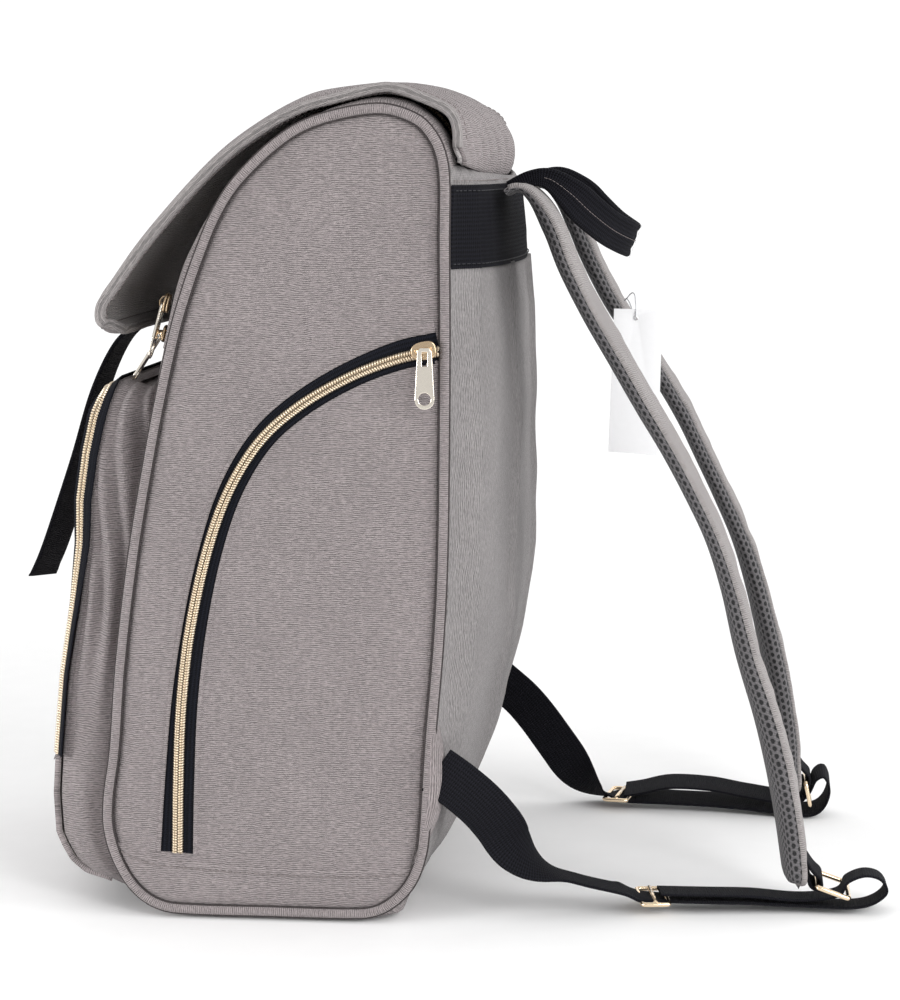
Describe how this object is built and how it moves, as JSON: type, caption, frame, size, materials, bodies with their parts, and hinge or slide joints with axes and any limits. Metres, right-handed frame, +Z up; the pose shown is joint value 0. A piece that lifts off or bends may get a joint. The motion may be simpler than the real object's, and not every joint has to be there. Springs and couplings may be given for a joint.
{
  "type": "diaper bag",
  "caption": "Backpack-style diaper bag with a flap over a zipped top, curved side zips, zipped front pocket, carry handle and padded shoulder straps with ring and glide adjusters.",
  "frame": {"origin": "centre of the flat base on the floor, under the middle of the main compartment", "axes": "+Z up, -Y to the front pocket and the flap end, +Y to the back and the harness, +X to the side seen in the picture"},
  "size_m": [0.287, 0.4449, 0.4165],
  "materials": {
    "grey_cloth": "slubby woven polyester, matt",
    "lining": "plain woven lining",
    "air_mesh": "spacer mesh with oval holes",
    "black_webbing": "ribbed black webbing and zip tape",
    "gold_metal": "pale champagne gold, polished",
    "gold_coil": "metallised zip coil",
    "board": "stiffening board",
    "card": "blank white card",
    "fastener": "thin clear nylon"
  },
  "bodies": {
    "bag": {"back_panel": "grey_cloth", "back_top_band": "grey_cloth", "back_webbing_band": "black_webbing", "base_board": "board", "bottom_panel": "grey_cloth", "front_panel": "grey_cloth", "front_pocket_base": "grey_cloth", "front_pocket_face": "grey_cloth", "front_pocket_gusset": "grey_cloth", "front_zip_coil": "gold_coil", "front_zip_tape": "black_webbing", "inner_pocket": "lining", "main_zip_coil": "gold_coil", "main_zip_tape": "black_webbing", "mouth_gusset_L": "grey_cloth", "mouth_gusset_R": "grey_cloth", "piping_L": "grey_cloth", "piping_R": "grey_cloth", "side_base_patch_L": "grey_cloth", "side_base_patch_R": "grey_cloth", "side_panel_L": "grey_cloth", "side_panel_R": "grey_cloth", "side_zip_coil_L": "gold_coil", "side_zip_coil_R": "gold_coil", "side_zip_tape_L": "black_webbing", "side_zip_tape_R": "black_webbing", "strap_tab_L": "grey_cloth", "strap_tab_R": "grey_cloth"},
    "top_panel": {"zip_panel": "grey_cloth", "panel_zip_tape": "black_webbing"},
    "flap": {"flap_shell": "grey_cloth", "flap_lining": "lining"},
    "flap_tongue": {"flap_strap": "black_webbing"},
    "handle": {"carry_handle": "black_webbing"},
    "main_slider_a": {"main_slider_1": "gold_metal"},
    "main_pull_a": {"main_pull_1": "gold_metal"},
    "main_slider_b": {"main_slider_2": "gold_metal"},
    "main_pull_b": {"main_pull_2": "gold_metal"},
    "front_slider_body": {"front_slider": "gold_metal"},
    "front_pull_body": {"front_pull": "gold_metal"},
    "tag": {"hang_tag": "card", "tag_fastener": "fastener"},
    "strap_R": {"shoulder_pad_R": "grey_cloth", "shoulder_mesh_R": "air_mesh", "pad_end_loop_R": "black_webbing", "strap_ring_R": "gold_metal", "adjuster_webbing_R": "black_webbing"},
    "glide_R": {"tri_glide_R": "gold_metal"},
    "side_slider_body_R": {"side_slider_R": "gold_metal"},
    "side_pull_body_R": {"side_pull_R": "gold_metal"},
    "strap_L": {"shoulder_pad_L": "grey_cloth", "shoulder_mesh_L": "air_mesh", "pad_end_loop_L": "black_webbing", "strap_ring_L": "gold_metal", "adjuster_webbing_L": "black_webbing"},
    "glide_L": {"tri_glide_L": "gold_metal"},
    "side_slider_body_L": {"side_slider_L": "gold_metal"},
    "side_pull_body_L": {"side_pull_L": "gold_metal"}
  },
  "joints": [
    {"name": "top_panel_hinge", "type": "hinge", "parent": "bag", "child": "top_panel", "pos_m": [0, 0.086, 0.38], "axis": [-1, 0, 0], "range_deg": [0, 35]},
    {"name": "flap_hinge", "type": "hinge", "parent": "top_panel", "child": "flap", "pos_m": [0, 0.086, 0.38], "axis": [-1, 0, 0], "range_deg": [0, 55]},
    {"name": "flap_strap_swing", "type": "hinge", "parent": "flap", "child": "flap_tongue", "pos_m": [0, -0.099, 0.2915], "axis": [-1, 0, 0], "range_deg": [0, 90]},
    {"name": "handle_lift", "type": "hinge", "parent": "bag", "child": "handle", "pos_m": [0, 0.1085, 0.3655], "axis": [1, 0, 0], "range_deg": [0, 30]},
    {"name": "strap_swing_R", "type": "hinge", "parent": "bag", "child": "strap_R", "pos_m": [0.07, 0.115, 0.36], "axis": [0.1976, -0.1038, -0.9748], "range_deg": [-6, 20]},
    {"name": "glide_slide_R", "type": "slide", "parent": "strap_R", "child": "glide_R", "axis": [-0.1146, 0.9931, -0.0267], "range_m": [0, 0.03]},
    {"name": "side_zip_run_R", "type": "hinge", "parent": "bag", "child": "side_slider_body_R", "pos_m": [0.135, 0.10624, 0.1276], "axis": [1, 0, 0], "range_deg": [0, 32]},
    {"name": "side_pull_swing_R", "type": "hinge", "parent": "side_slider_body_R", "child": "side_pull_body_R", "pos_m": [0.1428, 0.066, 0.2872], "axis": [0, -1, 0], "range_deg": [0, 120]},
    {"name": "strap_swing_L", "type": "hinge", "parent": "bag", "child": "strap_L", "pos_m": [-0.07, 0.115, 0.36], "axis": [0.1976, 0.1038, 0.9748], "range_deg": [-6, 20]},
    {"name": "glide_slide_L", "type": "slide", "parent": "strap_L", "child": "glide_L", "axis": [0.0263, 0.9996, -0.0105], "range_m": [0, 0.03]},
    {"name": "side_zip_run_L", "type": "hinge", "parent": "bag", "child": "side_slider_body_L", "pos_m": [-0.135, 0.10624, 0.1276], "axis": [1, 0, 0], "range_deg": [0, 32]},
    {"name": "side_pull_swing_L", "type": "hinge", "parent": "side_slider_body_L", "child": "side_pull_body_L", "pos_m": [-0.1428, 0.066, 0.2872], "axis": [0, 1, 0], "range_deg": [0, 120]},
    {"name": "front_zip_run", "type": "slide", "parent": "bag", "child": "front_slider_body", "axis": [0, -0.13, -0.9915], "range_m": [0, 0.05]},
    {"name": "front_pull_swing", "type": "hinge", "parent": "front_slider_body", "child": "front_pull_body", "pos_m": [-0.118, -0.1154, 0.185], "axis": [-1, 0, 0], "range_deg": [0, 120]},
    {"name": "main_zip_run_a", "type": "slide", "parent": "bag", "child": "main_slider_a", "axis": [-1, 0, 0], "range_m": [0, 0.19]},
    {"name": "main_zip_run_b", "type": "slide", "parent": "bag", "child": "main_slider_b", "axis": [0, 0.2366, 0.9716], "range_m": [0, 0.013]},
    {"name": "main_pull_swing_a", "type": "hinge", "parent": "main_slider_a", "child": "main_pull_a", "pos_m": [0.0973, -0.06908, 0.2919], "axis": [-1, 0, 0], "range_deg": [-8, 25]},
    {"name": "main_pull_swing_b", "type": "hinge", "parent": "main_slider_b", "child": "main_pull_b", "pos_m": [0.1083, -0.06617, 0.30808], "axis": [-1, 0, 0], "range_deg": [-5, 25]},
    {"name": "tag_swing", "type": "hinge", "parent": "strap_L", "child": "tag", "pos_m": [-0.0455, 0.159, 0.302], "axis": [1, 0, 0], "range_deg": [-15, 15]}
  ]
}
